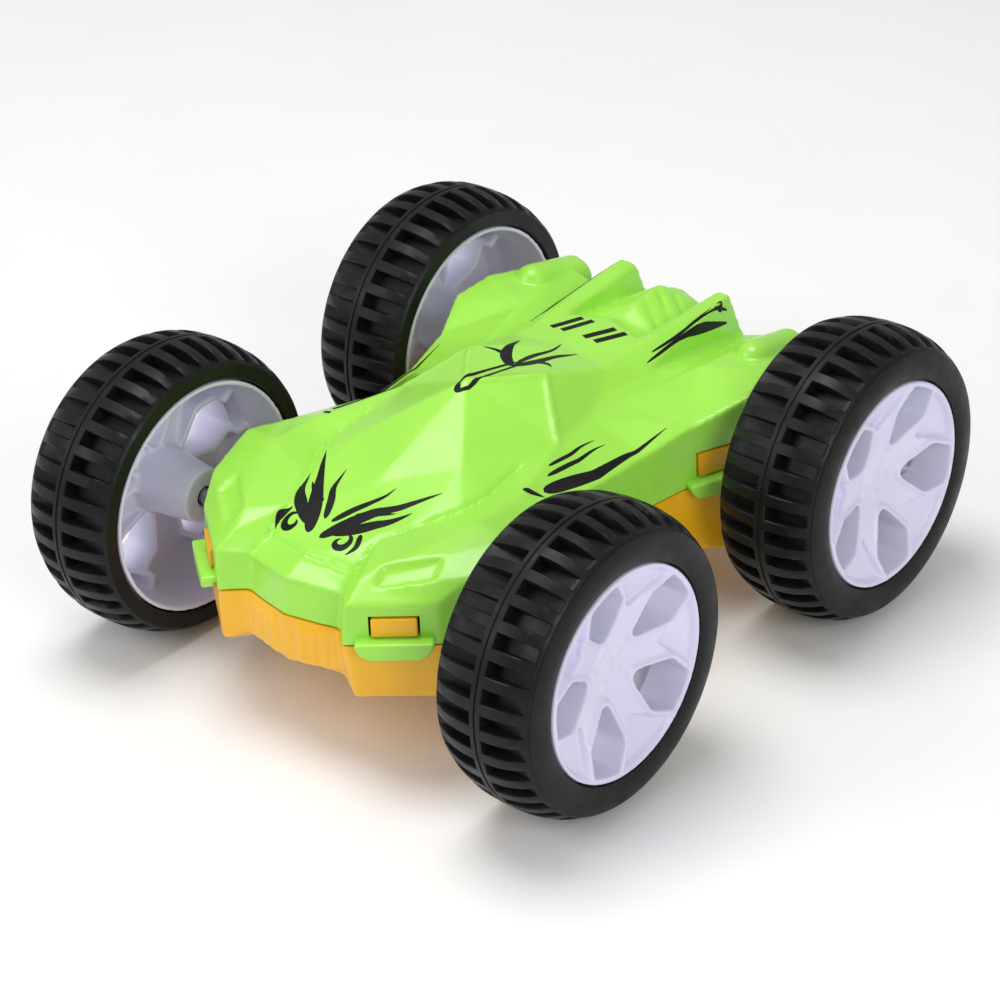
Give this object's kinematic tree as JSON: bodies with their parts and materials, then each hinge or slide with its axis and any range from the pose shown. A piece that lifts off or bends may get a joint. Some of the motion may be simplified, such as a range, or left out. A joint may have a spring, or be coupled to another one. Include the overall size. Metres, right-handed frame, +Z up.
{
  "type": "double-sided friction stunt car",
  "caption": "Low faceted toy car with oversized wheels that reach above and below the body, so it runs either way up; snapped two-colour shells with a flywheel gearbox on the rear axle.",
  "frame": {"origin": "on the floor under the middle of the car, halfway between the axles", "axes": "+Z up, -Y towards the front of the car, +X towards the driver's left-hand side"},
  "size_m": [0.1124, 0.1258, 0.0528],
  "materials": {
    "green_plastic": "glossy injection-moulded ABS, bright lime green",
    "orange_plastic": "glossy injection-moulded ABS, orange-yellow",
    "wheel_plastic": "satin white injection-moulded plastic with a faint lavender cast",
    "tyre_plastic": "black low-gloss moulded plastic tyre",
    "steel": "plain drawn or stamped steel",
    "brass": "turned brass",
    "gear_nylon": "natural nylon",
    "gearbox_plastic": "matt dark grey moulded plastic"
  },
  "bodies": {
    "body": {"upper_shell": "green_plastic", "lower_shell": "orange_plastic", "gearbox_left": "gearbox_plastic", "gearbox_right": "gearbox_plastic", "gearbox_screw_upper": "steel", "gearbox_screw_lower": "steel", "idler_shaft": "steel", "bush_front_left": "gearbox_plastic", "bush_front_right": "gearbox_plastic", "bush_rear_left": "gearbox_plastic", "bush_rear_right": "gearbox_plastic"},
    "front_wheels": {"front_axle": "steel", "rim_front_left": "wheel_plastic", "rim_front_right": "wheel_plastic", "tyre_front_left": "tyre_plastic", "tyre_front_right": "tyre_plastic"},
    "rear_wheels": {"rear_axle": "steel", "axle_gear": "gear_nylon", "rim_rear_left": "wheel_plastic", "rim_rear_right": "wheel_plastic", "tyre_rear_left": "tyre_plastic", "tyre_rear_right": "tyre_plastic"},
    "idler": {"idler_gear": "gear_nylon"},
    "flywheel": {"flywheel": "steel", "flywheel_pinion": "brass", "flywheel_shaft": "steel"}
  },
  "joints": [
    {"name": "front_axle_spin", "type": "hinge", "parent": "body", "child": "front_wheels", "pos_m": [0, -0.0365, 0.0264], "axis": [1, 0, 0], "continuous": true},
    {"name": "rear_axle_spin", "type": "hinge", "parent": "body", "child": "rear_wheels", "pos_m": [0, 0.0365, 0.0264], "axis": [1, 0, 0], "continuous": true},
    {"name": "idler_spin", "type": "hinge", "parent": "body", "child": "idler", "pos_m": [0, 0.0245, 0.0264], "axis": [1, 0, 0], "continuous": true},
    {"name": "flywheel_spin", "type": "hinge", "parent": "body", "child": "flywheel", "pos_m": [0, 0.0125, 0.0264], "axis": [1, 0, 0], "continuous": true}
  ],
  "couplings": [
    {"joint": "idler_spin", "follows": "rear_axle_spin", "ratio": -2.4},
    {"joint": "flywheel_spin", "follows": "rear_axle_spin", "ratio": 5.76}
  ]
}
